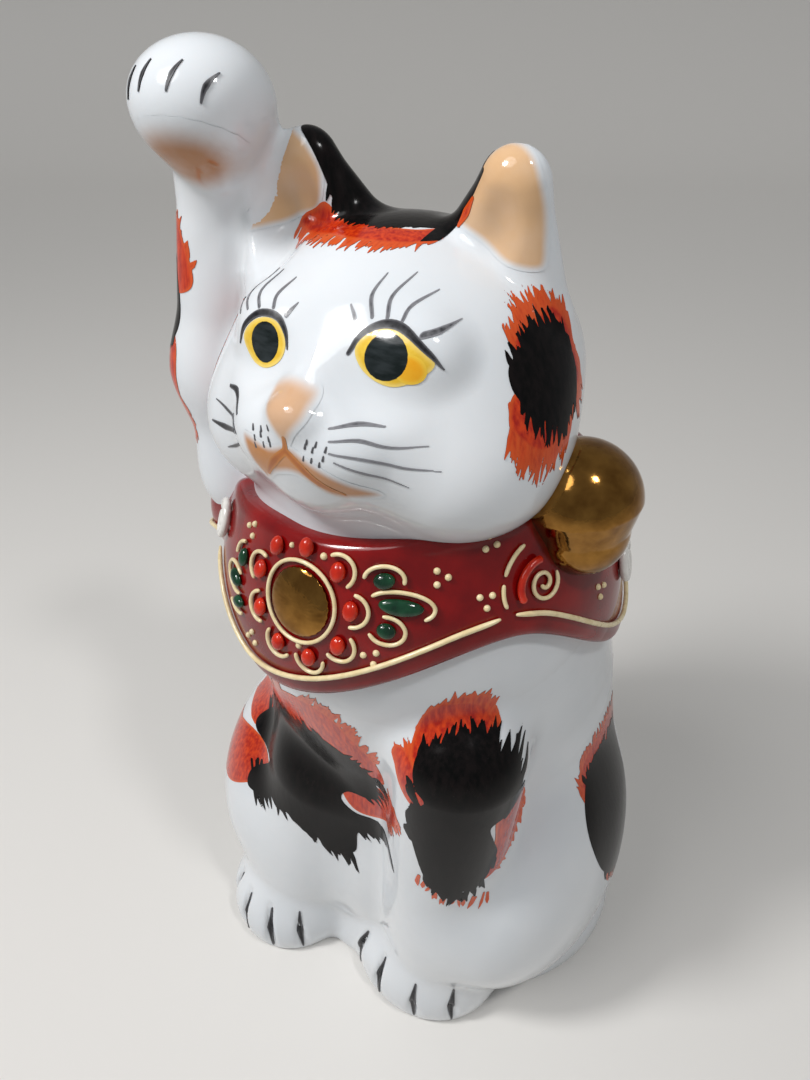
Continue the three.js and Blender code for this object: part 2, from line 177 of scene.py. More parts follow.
def arm(p):
    f = limb(p, (-33, -12, 128), (-44, -16.5, 148), 14, 12)
    f = blend(f, limb(p, (-44, -16.5, 148), (-48, -18, 174), 12, 11), 8)
    f = blend(f, limb(p, (-48, -18, 174), (-42, -17, 214), 11, 10.3), 8)
    f = blend(f, limb(p, (-41, -17, 216), (-36.5, -25, 227), 10.2, 9.8), 3)
    return blend(f, ball(p, (-36.7, -27.5, 230.2), (12.9, 12.5, 10.0)), 7)


CASTINGS = {"body": body, "head": head, "arm": arm}


def under_glaze(parts):
    """The whole cat under one glaze, from the distances to its three castings."""
    return blend(blend(parts["body"], parts["head"], 2.5), parts["arm"], 4)


def porcelain(p):
    return under_glaze({name: shape(p) for name, shape in CASTINGS.items()})


def casting(name, rank):
    """One casting of the cat, ending where its neighbours begin."""

    def shape(p):
        parts = {each: soft(p) for each, soft in CASTINGS.items()}
        others = [parts[each] for each in CASTINGS if each != name]
        seam = parts[name] - np.minimum(*others) - 1.0
        return np.maximum(under_glaze(parts) - rank * GLAZE_STEP, seam)

    return shape


def vented_body(p):
    drain = np.hypot(p[..., 0] - VENT_AT[0], p[..., 1] - VENT_AT[1]) - VENT_R
    recess = np.maximum(drain, p[..., 2] - VENT_DEPTH)
    return np.maximum(casting("body", 0)(p), -recess)


# ---------------------------------------------------------------- bib

def edge(knots, degrees):
    """Height of an edge at each bearing, eased from knot to knot."""
    at, height = np.array(knots, float).T
    i = np.clip(np.searchsorted(at, degrees) - 1, 0, len(at) - 2)
    t = (degrees - at[i]) / (at[i + 1] - at[i])
    return height[i] + (height[i + 1] - height[i]) * t * t * (3 - 2 * t)


HEM = [(-180, 124), (-132, 134), (-92, 121), (-52, 133), (-19, 120.2), (52, 141.3), (106, 119),
       (140, 134), (180, 124)]
COLLAR = [(-180, 159), (-128, 159), (-104, 141), (-78, 140), (-50, 156), (-12, 159.3), (60, 165),
          (180, 159)]


def bearing(p):
    return np.degrees(np.arctan2(p[..., 0], -(p[..., 1] - CHEST_Y)))


def bib(p):
    degrees = bearing(p)
    chest = body(p)
    below = (p[..., 2] - edge(HEM, degrees)) * 0.85
    above = (edge(COLLAR, degrees) - p[..., 2]) * 0.85
    f = carve(carve(chest - BIB_THICK, below, 2.2), above, 2.2)
    return np.maximum(f, -(chest + 1.5)).astype(p.dtype)


# ---------------------------------------------------------------- meshes

def surface_gradient(shape, points, step=0.05):
    slopes = []
    for axis in range(3):
        nudge = np.zeros(3)
        nudge[axis] = step
        slopes.append(shape(points + nudge) - shape(points - nudge))
    g = np.stack(slopes, -1)
    return g / np.maximum(np.linalg.norm(g, axis=-1, keepdims=True), 1e-9)


def new_object(name, vertices, faces, material, normals=None):
    mesh = bpy.data.meshes.new(name)
    mesh.from_pydata((np.asarray(vertices) * MM).tolist(), [], [list(map(int, f)) for f in faces])
    mesh.shade_smooth()
    if normals is not None:
        mesh.normals_split_custom_set_from_vertices(normals.tolist())
    mesh.materials.append(material)
    obj = bpy.data.objects.new(name, mesh)
    bpy.context.scene.collection.objects.link(obj)
    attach(obj, "root")
    return obj


def sampled(shape, low, high, voxel):
    """Distances on a grid of cells, worked out only in the blocks that the surface may cross."""
    counts = [int(math.ceil((b - a) / voxel / BLOCK)) for a, b in zip(low, high)]
    middles = [a + (np.arange(n) * BLOCK + (BLOCK - 1) / 2) * voxel for a, n in zip(low, counts)]
    coarse = shape(np.stack(np.meshgrid(*middles, indexing="ij"), -1).astype(np.float32))
    values = coarse
    for axis in range(3):
        values = np.repeat(values, BLOCK, axis=axis)
    inner = np.stack(np.meshgrid(*[np.arange(BLOCK)] * 3, indexing="ij"), -1).reshape(-1, 3)
    near = np.argwhere(np.abs(coarse) < 2 * BLOCK * voxel)
    for blocks in np.array_split(near, len(near) // 3000 + 1):
        cells = blocks[:, None, :] * BLOCK + inner
        found = shape((np.array(low) + cells * voxel).astype(np.float32))
        values[cells[..., 0], cells[..., 1], cells[..., 2]] = found
    return values


def sculpt(name, shape, low, high, material, voxel=VOXEL, skin=None):
    """Closed mesh of a shape inside a box. skin is the smooth shape its outer points settle on."""
    limit = 3 * voxel
    grid = openvdb.FloatGrid(background=limit)
    grid.copyFromArray(np.clip(sampled(shape, low, high, voxel), -limit, limit))
    grid.transform = openvdb.createLinearTransform(voxelSize=voxel)
    points, quads = grid.convertToQuads(isovalue=0.0)
    points = points.astype(float) + np.array(low)
    settle = skin or shape
    for _ in range(2):
        near = np.abs(settle(points)) < voxel * 0.6
        g = surface_gradient(settle, points[near])
        points[near] -= g * settle(points[near])[:, None] * 0.95
    return new_object(name, points, quads, material, surface_gradient(shape, points, NORMAL_STEP))


# ---------------------------------------------------------------- drawing
# A mark is drawn flat, in mm on a sheet held in front of the cat, and then laid on the glaze.
# It is made of closed outlines and of brush strokes: rows of start, end and the two half widths.

def sheet(spot, bearing_to=0, tilt=0):
    """Middle, across, up and outward directions of a sheet that faces a bearing, tilted up in degrees."""
    b, t = math.radians(bearing_to), math.radians(tilt)
    across = np.array((math.cos(b), math.sin(b), 0))
    outward = np.array((math.sin(b) * math.cos(t), -math.cos(b) * math.cos(t), math.sin(t)))
    return np.array(spot, float), across, np.cross(outward, across), outward


def curve_through(points, closed=False, steps=5):
    """Smooth line through a few points."""
    p = np.array(points, float)
    if closed:
        p = np.concatenate([p[-1:], p, p[:2]])
    else:
        p = np.concatenate([2 * p[:1] - p[1:2], p, 2 * p[-1:] - p[-2:-1]])
    line = []
    for a, b, c, d in zip(p, p[1:], p[2:], p[3:]):
        for t in np.arange(steps) / steps:
            line.append(0.5 * (2 * b + (c - a) * t + (2 * a - 5 * b + 4 * c - d) * t * t
                               + (3 * b - 3 * c + d - a) * t ** 3))
    return np.array(line if closed else line + [p[-2]])


def stroke(points, widths):
    """One brush stroke through a few points, with its full width at each."""
    line = curve_through(points)
    at = np.linspace(0, len(widths) - 1, len(line))
    half = np.interp(at, np.arange(len(widths)), np.array(widths) / 2)
    return np.column_stack([line[:-1], line[1:], half[:-1], half[1:]])


def bristles(line, lean, length, width, count, seed, spread=14):
    """Marks of a half-dry brush, rooted along a line and flicked lean degrees round from across."""
    rng = np.random.default_rng(seed)
    path = curve_through(line)
    gone = np.concatenate([[0], np.cumsum(np.linalg.norm(np.diff(path, axis=0), axis=1))])
    rows = []
    for share in (np.arange(count) + rng.uniform(0, 1, count)) / count:
        root = np.array([np.interp(share * gone[-1], gone, path[:, k]) for k in (0, 1)])
        turn = math.radians(lean + rng.uniform(-spread, spread))
        way = np.array((math.cos(turn), math.sin(turn)))
        bow = np.array((-way[1], way[0])) * rng.uniform(-0.12, 0.12)
        reach = length * rng.uniform(0.5, 1.15)
        wide = width * rng.uniform(0.7, 1.3)
        rows.append(stroke([root - way * reach * 0.6, root + (way * 0.35 + bow) * reach,
                            root + way * reach],
                           [wide * 0.7, wide, 0.05]))
    return np.concatenate(rows)


def outline_distance(q, outline):
    a, b = outline, np.roll(outline, -1, axis=0)
    along = b - a
    offset = q[:, None, :] - a
    t = np.clip((offset * along).sum(-1) / (along * along).sum(-1), 0, 1)
    reach = np.linalg.norm(offset - t[..., None] * along, axis=-1).min(1)
    spans = (a[:, 1] > q[:, 1:]) != (b[:, 1] > q[:, 1:])
    rise = np.where(along[:, 1] == 0, 1e-9, along[:, 1])
    crossing = a[:, 0] + (q[:, 1:] - a[:, 1]) / rise * along[:, 0]
    inside = (spans & (q[:, :1] < crossing)).sum(1) % 2 == 1
    return np.where(inside, -reach, reach)


def stroke_distance(q, rows):
    a, along = rows[:, :2], rows[:, 2:4] - rows[:, :2]
    offset = q[:, None, :] - a
    t = np.clip((offset * along).sum(-1) / np.maximum((along * along).sum(-1), 1e-9), 0, 1)
    half = rows[:, 4] + (rows[:, 5] - rows[:, 4]) * t
    return (np.linalg.norm(offset - t[..., None] * along, axis=-1) - half).min(1)


def mark_distance(q, outlines, strokes):
    found = np.full(len(q), 1e3)
    for part in np.array_split(np.arange(len(q)), len(q) // 4000 + 1):
        for outline in outlines:
            found[part] = np.minimum(found[part], outline_distance(q[part], outline))
        if len(strokes):
            found[part] = np.minimum(found[part], stroke_distance(q[part], strokes))
    return found


def cut_out(spots, values, triangles):
    """Triangles trimmed to where the values are negative: corner positions, their values, triangles."""
    inside = values[triangles] < 0
    kept = inside.sum(1)
    lone = turned_to(triangles[kept == 1], inside[kept == 1])
    pair = turned_to(triangles[kept == 2], ~inside[kept == 2])
    ends = np.concatenate([lone[:, [0, 1]], lone[:, [0, 2]], pair[:, [0, 1]], pair[:, [0, 2]]])
    edges, new = np.unique(np.sort(ends, axis=1), axis=0, return_inverse=True)
    new = new.ravel() + len(spots)
    share = (values[edges[:, 0]] / (values[edges[:, 0]] - values[edges[:, 1]]))[:, None]
    between = spots[edges[:, 0]] * (1 - share) + spots[edges[:, 1]] * share
    n, m = len(lone), len(pair)
    ab, ac = new[:n], new[n:2 * n]
    cut_b, cut_c = new[2 * n:2 * n + m], new[2 * n + m:]
    faces = np.concatenate([
        triangles[kept == 3],
        np.column_stack([lone[:, 0], ab, ac]),
        np.column_stack([pair[:, 1], pair[:, 2], cut_c]),
        np.column_stack([pair[:, 1], cut_c, cut_b]),
    ])
    used, faces = np.unique(faces, return_inverse=True)
    all_spots = np.concatenate([spots, between])[used]
    all_values = np.concatenate([values, np.zeros(len(between))])[used]
    return all_spots, all_values, faces.reshape(-1, 3)


def turned_to(triangles, chosen):
    """Triangles with their corners turned so that the one chosen corner comes first."""
    first = chosen.argmax(1)[:, None]
    return np.take_along_axis(triangles, (first + np.arange(3)) % 3, 1)


def laid_on(shape, flat, place):
    """Points of a sheet carried straight inward until they meet a shape, and which of them meet it."""
    middle, across, up, outward = place
    start = middle + flat[:, :1] * across + flat[:, 1:] * up + outward * SHEET_AWAY
    gone = np.zeros(len(flat))
    for _ in range(26):
        gone += shape(start - outward * gone[:, None]) * 0.95
    points = start - outward * gone[:, None]
    return points, (np.abs(shape(points)) < 0.1) & (gone < 2 * SHEET_AWAY)


def paint(name, place, outlines, strokes, lift, material, grain=0.3, slot=None, stand=0.0, onto=porcelain):
    """Thin slab of enamel on the glaze. Its faces know their depth inside the mark's edge, in mm."""
    strokes = np.concatenate(strokes) if len(strokes) else np.empty((0, 6))
    reach = [strokes[:, :2], strokes[:, 2:4], *outlines]
    low, high = np.concatenate(reach).min(0) - 1, np.concatenate(reach).max(0) + 1
    xs, ys = (np.arange(a, b, grain) for a, b in zip(low, high))
    spots = np.stack(np.meshgrid(xs, ys, indexing="ij"), -1).reshape(-1, 2)
    values = mark_distance(spots, outlines, strokes)
    index = np.arange(len(spots)).reshape(len(xs), len(ys))
    a, b, c, d = (k.ravel() for k in (index[:-1, :-1], index[1:, :-1], index[1:, 1:], index[:-1, 1:]))
    triangles = np.concatenate([np.column_stack([a, b, c]), np.column_stack([a, c, d])])
    flat, depth, faces = cut_out(spots, values, triangles)
    points, met = laid_on(onto, flat, place)
    outward = surface_gradient(onto, points, NORMAL_STEP)
    met &= outward @ place[3] > GRAZING
    faces = faces[met[faces].all(1)]
    used, faces = np.unique(faces, return_inverse=True)
    faces = faces.reshape(-1, 3)
    points, outward, depth = points[used], outward[used], -depth[used]
    crown = stand * np.sqrt(np.clip(depth / 0.6, 0, 1))
    top = points + outward * (lift + crown)[:, None]
    bottom = points - outward * MARK_ROOT
    sides = np.concatenate([faces[:, [0, 1]], faces[:, [1, 2]], faces[:, [2, 0]]])
    n = len(points)
    rim = sides[~np.isin(sides[:, 0] * n + sides[:, 1], sides[:, 1] * n + sides[:, 0])]
    walls = [(j, i, i + n, j + n) for i, j in rim]
    slab = [tuple(f) for f in faces] + [tuple(f[::-1] + n) for f in faces] + walls
    shell, normals = np.concatenate([top, bottom]), np.concatenate([outward, -outward])
    obj = new_object(name, shell, slab, material, normals)
    layer = obj.data.attributes.new("depth", "FLOAT", "POINT")
    layer.data.foreach_set("value", np.concatenate([depth, depth]).astype(np.float32))
    return obj if slot else obj


# ---------------------------------------------------------------- materials

def node_material(name, roughness, metallic=0.0):
    material = bpy.data.materials.new(name)
    material.use_nodes = True
    tree = material.node_tree
    surface = tree.nodes["Principled BSDF"]
    surface.inputs["Roughness"].default_value = roughness
    surface.inputs["Metallic"].default_value = metallic
    return material, tree, surface


def add_noise(tree, scale, detail=4.0, stretch=(1, 1, 1)):
    """Noise in the object's own millimetres."""
    place = tree.nodes.new("ShaderNodeTexCoord")
    mapping = tree.nodes.new("ShaderNodeMapping")
    mapping.inputs["Scale"].default_value = [scale * s / MM for s in stretch]
    noise = tree.nodes.new("ShaderNodeTexNoise")
    noise.inputs["Scale"].default_value = 1.0
    noise.inputs["Detail"].default_value = detail
    tree.links.new(place.outputs["Object"], mapping.inputs["Vector"])
    tree.links.new(mapping.outputs["Vector"], noise.inputs["Vector"])
    return noise.outputs["Fac"]


def ramp(tree, source, stops):
    node = tree.nodes.new("ShaderNodeValToRGB")
    elements = node.color_ramp.elements
    while len(elements) < len(stops):
        elements.new(0.5)
    for element, (at, colour) in zip(elements, stops):
        element.position = at
        element.color = (*colour, 1)
    tree.links.new(source, node.inputs["Fac"])
    return node.outputs["Color"]


def add_bump(tree, surface, source, height_mm):
    bump = tree.nodes.new("ShaderNodeBump")
    bump.inputs["Distance"].default_value = height_mm * MM
    tree.links.new(source, bump.inputs["Height"])
    tree.links.new(bump.outputs["Normal"], surface.inputs["Normal"])


def spread(tree, source, low, high, start=0.0, end=1.0):
    """A value carried smoothly from one range to another."""
    node = tree.nodes.new("ShaderNodeMapRange")
    node.interpolation_type = "SMOOTHSTEP"
    node.inputs["From Min"].default_value = start
    node.inputs["From Max"].default_value = end
    node.inputs["To Min"].default_value = low
    node.inputs["To Max"].default_value = high
    tree.links.new(source, node.inputs["Value"])
    return node.outputs["Result"]


def edge_depth(tree):
    node = tree.nodes.new("ShaderNodeAttribute")
    node.attribute_name = "depth"
    return node.outputs["Fac"]


def mixed(tree, share, under, over):
    """Colour under shows where share is 0, and over where it is 1."""
    node = tree.nodes.new("ShaderNodeMix")
    node.data_type = "RGBA"
    tree.links.new(share, node.inputs["Factor"])
    for socket, colour in (("A", under), ("B", over)):
        slot = [s for s in node.inputs if s.name == socket and s.type == "RGBA"][0]
        if isinstance(colour, tuple):
            slot.default_value = (*colour, 1)
        else:
            tree.links.new(colour, slot)
    return [s for s in node.outputs if s.type == "RGBA"][0]


def enamel(name, dark, light, scale=0.35, stretch=(1, 1, 1), roughness=(0.08, 0.16), relief=0.03, thin=None,
           fade=0.9, shine=0.5):
    """Fired overglaze colour, lighter where the brush ran dry, and thin where it runs out at the edge."""
    material, tree, surface = node_material(name, roughness[0])
    surface.inputs["Specular IOR Level"].default_value = shine
    cloud = add_noise(tree, scale, stretch=stretch)
    colour = ramp(tree, cloud, [(0.35, dark), (0.65, light)])
    if thin:
        colour = mixed(tree, spread(tree, edge_depth(tree), 0, 1, 0.0, fade), thin, colour)
    tree.links.new(colour, surface.inputs["Base Color"])
    tree.links.new(spread(tree, cloud, *roughness), surface.inputs["Roughness"])
    add_bump(tree, surface, cloud, relief)
    return material


def glaze(name, tint=None, soft=1.5, strength=1.0):
    """White porcelain, faintly clouded, under a clear wavy glaze. A tint fades in from a mark's edge."""
    material, tree, surface = node_material(name, 0.1)
    cloud = add_noise(tree, 0.03)
    colour = ramp(tree, cloud, [(0.3, (0.66, 0.69, 0.72)), (0.7, (0.73, 0.75, 0.77))])
    if tint:
        patchy = spread(tree, add_noise(tree, 0.12), strength * 0.9, strength, 0.3, 0.7)
        share = tree.nodes.new("ShaderNodeMath")
        share.operation = "MULTIPLY"
        tree.links.new(spread(tree, edge_depth(tree), 0, 1, 0.0, soft), share.inputs[0])
        tree.links.new(patchy, share.inputs[1])
        colour = mixed(tree, share.outputs[0], colour, tint)
    tree.links.new(colour, surface.inputs["Base Color"])
    surface.inputs["Subsurface Weight"].default_value = 0.1
    surface.inputs["Subsurface Radius"].default_value = (2 * MM, 1.6 * MM, 1.4 * MM)
    surface.inputs["Subsurface Scale"].default_value = 1.0
    wave = add_noise(tree, 0.12, detail=2)
    tree.links.new(spread(tree, wave, 0.05, 0.12), surface.inputs["Roughness"])
    add_bump(tree, surface, wave, 0.06)
    return material


def lustre(name):
    """Liquid gold fired to a dark mirror, slightly uneven."""
    material, tree, surface = node_material(name, 0.1, metallic=1.0)
    cloud = add_noise(tree, 0.25)
    colour = ramp(tree, cloud, [(0.3, (0.2, 0.09, 0.02)), (0.7, (0.38, 0.19, 0.045))])
    tree.links.new(colour, surface.inputs["Base Color"])
    tree.links.new(spread(tree, cloud, 0.05, 0.15), surface.inputs["Roughness"])
    add_bump(tree, surface, cloud, 0.1)
    return material


WHITE = glaze("porcelain glaze")
PEACH = glaze("peach wash", (0.7, 0.43, 0.23))
NOSE_PEACH = glaze("nose wash", (0.64, 0.38, 0.22), soft=2.0)
# Orange-brown under the mouth: the mouth's own orange, with painted shade under the lower lip and a painted
# warm reflection below it
MOUTH_TINT_AND_SHADE = glaze("mouth tint and shade", (0.5, 0.2, 0.05), soft=1.8)
LIP = enamel("lip line", (0.34, 0.1, 0.02), (0.42, 0.13, 0.03), thin=(0.5, 0.2, 0.05), fade=0.6)
# Brown under the raised paw: mostly painted shade and a painted warm reflection from below, over the paw's
# own faint brown tint
PALM_SHADE = glaze("palm shade and reflection", (0.38, 0.15, 0.04), soft=6.0)
BIB_RED = enamel("bib enamel", (0.15, 0.001, 0.002), (0.24, 0.003, 0.003), scale=0.12)
GOLD = lustre("gold lustre")
BEAD_RED = enamel("bead enamel", (0.42, 0.012, 0.004), (0.6, 0.03, 0.008))
GREEN = enamel("leaf enamel", (0.002, 0.022, 0.01), (0.008, 0.06, 0.025))
CREAM = enamel("trailed slip", (0.72, 0.58, 0.32), (0.8, 0.68, 0.42), scale=0.4, roughness=(0.2, 0.35))
RAISED_WHITE = enamel("raised white", (0.72, 0.7, 0.66), (0.8, 0.78, 0.74), scale=0.5)
IRON_RED = enamel("iron red", (0.36, 0.01, 0.003), (0.62, 0.05, 0.006), scale=0.5, stretch=(2.2, 2.2, 0.5),
                  thin=(0.62, 0.085, 0.014))
BLACK = enamel("calico black", (0.002, 0.002, 0.002), (0.007, 0.005, 0.005), scale=0.4, stretch=(2, 2, 0.6),
               roughness=(0.12, 0.22), shine=0.14)
LINE_BLACK = enamel("line black", (0.01, 0.01, 0.012), (0.03, 0.03, 0.034), scale=1.2,
                    thin=(0.12, 0.12, 0.13),
                    fade=0.3, roughness=(0.25, 0.35), shine=0.2)
LINE_GREY = enamel("line grey", (0.04, 0.04, 0.045), (0.16, 0.16, 0.17), scale=0.8,
                   thin=(0.26, 0.26, 0.28), fade=0.3)
YELLOW = enamel("eye yellow", (0.72, 0.44, 0.03), (0.82, 0.56, 0.07), scale=0.5, thin=(0.8, 0.6, 0.16))
AMBER = enamel("eye amber", (0.8, 0.36, 0.01), (0.82, 0.42, 0.02), thin=(0.8, 0.52, 0.05))
PUPIL = enamel("pupil", (0.006, 0.01, 0.01), (0.022, 0.028, 0.03), scale=0.5, stretch=(0.6, 1, 2),
               shine=0.3)
SLOT_LOOKS = {
    "porcelain": WHITE,
    "bib_red": BIB_RED,
    "gold_lustre": GOLD,
    "red_enamel": BEAD_RED,
    "green_enamel": GREEN,
    "cream_slip": CREAM,
}


# ---------------------------------------------------------------- castings and bib

def stand_for(obj, node):
    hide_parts(node)
    return obj


def margin(node, by=4.0):
    """Box of a CAD node in mm, with room round it."""
    low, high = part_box(node)
    return [v / MM - by for v in low], [v / MM + by for v in high]


def cast_cat():
    body_mesh = sculpt("porcelain_body", vented_body, *margin("body_shell", 9), WHITE, skin=porcelain)
    stand_for(body_mesh, "body_shell")
    head_mesh = sculpt("porcelain_head", casting("head", 1), *margin("head_shell", 9), WHITE,
                       skin=porcelain)
    stand_for(head_mesh, "head_shell")
    arm_mesh = sculpt("porcelain_arm", casting("arm", 2), *margin("raised_arm", 9), WHITE, skin=porcelain)
    stand_for(arm_mesh, "raised_arm")
    stand_for(sculpt("bib_enamel", bib, *margin("bib"), BIB_RED, voxel=VOXEL * 0.75), "bib")


cast_cat()


# ---------------------------------------------------------------- painted face

WASH_LIFT, RED_LIFT, BLACK_LIFT, TOP_LIFT = 0.07, 0.1, 0.15, 0.2
CLAW_LIFT = 0.35      # claws lie in the grooves between the toes
FACE = sheet((0, 0, 190))


def oval(middle, wide, tall, lean=0, points=20):
    turn = np.arange(points) * 2 * math.pi / points
    x, y = wide * np.cos(turn), tall * np.sin(turn)
    a = math.radians(lean)
    return np.column_stack([middle[0] + x * math.cos(a) - y * math.sin(a),
                            middle[1] + x * math.sin(a) + y * math.cos(a)])


def closed(*points):
    return curve_through(points, closed=True)


def paint_eyes():
    left = closed((6.8, 7.6), (9, 10.2), (12.5, 11), (16.5, 9.7), (20.6, 6.8), (18.6, 4.2), (15, 2.6),
                  (11.5, 3), (8.4, 4.8))
    right = closed((-18, 4.5), (-16, 7.6), (-12.8, 9), (-9.6, 8.4), (-7.3, 5.6), (-8, 2.8),
                   (-11.4, 0.9), (-15.2, 1.4))
    paint("eye_left", FACE, [left], [], RED_LIFT, YELLOW)
    paint("eye_right", FACE, [right], [], RED_LIFT, YELLOW)
    paint("eye_amber", FACE, [oval((17, 5.6), 2.8, 2.3, -20)], [], RED_LIFT + 0.03, AMBER)
    paint("pupil_left", FACE, [oval((12.7, 6.9), 3.9, 3.6)], [], BLACK_LIFT, PUPIL, stand=0.15)
    paint("pupil_right", FACE, [oval((-12.2, 5), 3.3, 3.4)], [], BLACK_LIFT, PUPIL, stand=0.15)
    lids = [
        stroke([(5.8, 6.6), (7.4, 9.6), (11, 11.4), (15, 11), (19.5, 8.2),
                (22, 5.6)], [0.7, 1.1, 1.2, 1.1, 0.8, 0.2]),
        stroke([(-19.6, 3), (-18, 6.6), (-14.6, 9.3), (-10.6, 9.5), (-8, 7.6),
                (-6.6, 5)], [0.3, 0.9, 1.1, 1.1, 0.9, 0.3]),
    ]
    paint("eyelids", FACE, [], lids, BLACK_LIFT, LINE_BLACK, grain=0.22)


def paint_lashes():
    lines = [
        stroke([(3.4, 13), (4.8, 11.6), (5.8, 9.8)], [0.3, 0.6, 0.7]),
        stroke([(6.8, 17.2), (6.2, 14.5), (8, 11.9)], [0.2, 0.6, 0.6]),
        stroke([(11.2, 17.4), (9.6, 14.6), (10.8, 12.2)], [0.2, 0.6, 0.6]),
        stroke([(15.8, 15.4), (13.6, 13.8), (13.6, 12.2)], [0.2, 0.6, 0.6]),
        stroke([(21, 11.8), (19.8, 11.1), (17.8, 10.6)], [0.2, 1.0, 1.0]),
        stroke([(-21.8, 9.5), (-20.4, 8)], [0.4, 0.5]),
        stroke([(-20, 13.2), (-19.8, 10.8), (-18, 9.3)], [0.2, 0.6, 0.5]),
        stroke([(-15.6, 14.6), (-16.6, 12.2), (-15, 10.2)], [0.2, 0.6, 0.6]),
        stroke([(-10.6, 14.6), (-12.2, 12.4), (-11.8, 10.6)], [0.2, 0.6, 0.6]),
        stroke([(-7.2, 11.8), (-8.6, 10)], [0.2, 1.0]),
    ]
    paint("lashes", FACE, [], lines, RED_LIFT, LINE_GREY, grain=0.2)


def paint_muzzle():
    nose = closed((-6.6, 1), (-3.4, 2.8), (0.5, 3), (3.8, 1.8), (4.4, -1.6), (2.4, -4.6), (0, -8),
                  (-2.8, -4.8),
                  (-6, -2))
    paint("nose", FACE, [nose], [], WASH_LIFT, NOSE_PEACH)
    # This wash under the mouth holds painted shade and painted reflection besides the mouth's own orange
    wash = closed((-10.6, -7.6), (-4, -8), (0, -6.8), (4.4, -8.4), (11, -11.6), (16.4, -15), (8, -16.6),
                  (2, -12.8),
                  (-3, -14), (-7.6, -17))
    paint("mouth_tint_and_shade", FACE, [wash], [], WASH_LIFT, MOUTH_TINT_AND_SHADE)
    lips = [
        stroke([(0, -5.6), (-0.2, -8.4)], [0.8, 1.2]),
        stroke([(-0.2, -8.2), (3, -10.6), (6.4, -13.4), (10, -15.2)], [1.3, 1.6, 1.4, 0.4]),
        stroke([(-0.2, -8.2), (-3, -11), (-5.6, -14.6)], [1.3, 1.7, 0.8]),
    ]
    paint("lips", FACE, [], lips, RED_LIFT + 0.04, LIP)
    dots = []
    rng = np.random.default_rng(5)
    for side, lean in ((-1, 0.25), (1, -0.1)):
        for row in range(3):
            for k in range(3):
                x = side * (4.2 + k * 1.7 - row * 0.3) + rng.uniform(-0.3, 0.3)
                z = -5.2 - row * 1.5 - k * 0.35 + rng.uniform(-0.4, 0.4)
                dots.append(stroke([(x, z + 0.4), (x + lean, z - 0.4)], [0.25, 0.45]))
    paint("whisker_roots", FACE, [], dots, RED_LIFT, LINE_BLACK, grain=0.16)


def paint_whiskers():
    left = [
        stroke([(7.4, -3.2), (11, -2.6), (15.2, -3)], [0.3, 0.55, 0.25]),
        stroke([(8, -5), (12.4, -4.6), (17, -6), (22, -6)], [0.3, 0.5, 0.4, 0.15]),
        stroke([(8.4, -6.8), (13.6, -7.4), (19, -9.4), (24.6, -10)], [0.3, 0.45, 0.4, 0.15]),
        stroke([(9.4, -8.2), (14, -10), (20, -13)], [0.25, 0.4, 0.15]),
    ]
    right = [
        stroke([(-20.6, -4.6), (-17, -4), (-13.6, -6)], [0.6, 1.0, 0.5]),
        stroke([(-26, -9), (-20.5, -8.6), (-16, -8)], [0.2, 0.6, 0.5]),
        stroke([(-27, -13.4), (-21.5, -12.4), (-16, -10.6)], [0.4, 1.2, 0.8]),
        stroke([(-21.4, -16.8), (-17.5, -14.6), (-14.6, -12.6)], [0.2, 0.7, 0.5]),
        stroke([(-16, -7.4), (-13.4, -9.4)], [0.5, 0.4]),
    ]
    paint("whiskers_left", FACE, [], left, RED_LIFT, LINE_GREY, grain=0.2)
    paint("whiskers_right", FACE, [], right, RED_LIFT, LINE_BLACK, grain=0.2)


def paint_ears():
    left = closed((-1, 11), (3, 11.4), (6.4, 8.6), (8.6, 3), (9.4, -3), (9, -8), (3, -8), (-2.5, -4.4),
                  (-10.4, 0.2),
                  (-6.4, 5.4))
    paint("ear_left_wash", sheet((20, -22, 216), 10, 15), [left], [], WASH_LIFT, PEACH)
    right = closed((-3, 10.4), (0, 10.8), (4.4, 8), (7.4, 3), (6.4, -3), (1.5, -5), (-4, -7),
                   (-9.6, -8), (-8.6, 0.5),
                   (-6, 6.6))
    paint("ear_right_wash", sheet((-23, -22, 216), 10, 15), [right], [], WASH_LIFT, PEACH, onto=head)


paint_eyes()
paint_lashes()
paint_muzzle()
paint_whiskers()
paint_ears()


# ---------------------------------------------------------------- painted coat

def paint_crown():
    """Black saddle between the ears over an orange fringe."""
    place = sheet((-3, -20, 213), 10, 60)
    red = closed((-18, 0.5), (-12.5, 2.5), (-7.5, 0), (2, -3.5), (8, -3.5), (12.5, -1), (12.8, -5.2),
                 (7, -8.6), (-1, -8.4), (-8, -6), (-13, -3.5))
    fringe = bristles([(-18, -0.5), (-12, -4.5), (-5, -8), (5, -8.6), (12.5, -5.5)], -115, 3.4, 0.9, 46, 11)
    paint("crown_red", place, [red], [fringe], RED_LIFT, IRON_RED, slot="red_enamel")
    black = closed((-18, 11), (-14.5, 13), (-8, 14), (0, 14), (8, 13), (15, 10), (21, 8.5), (19, 2.5),
                   (14, -0.5), (7.5, -2.5),
                   (1.5, -3.6), (-5, -1.6), (-10, 2), (-12.5, 5))
    ragged = bristles([(-12, 4), (-5, -1), (2, -3), (8, -1.5)], -110, 2.0, 0.8, 26, 12)
    paint("crown_black", place, [black], [ragged], BLACK_LIFT, BLACK)
    edge_black = stroke([(9, 21.6), (11.5, 24.6), (13.8, 28), (16.4, 31.8)], [3.6, 3.0, 2.2, 1.0])
    paint("ear_left_edge", FACE, [], [edge_black], BLACK_LIFT, BLACK)
    edge_red = stroke([(12.4, 22.6), (13.8, 25), (15, 27.4)], [0.6, 1.6, 0.6])
    paint("ear_edge_red", FACE, [], [edge_red], TOP_LIFT, IRON_RED, slot="red_enamel")


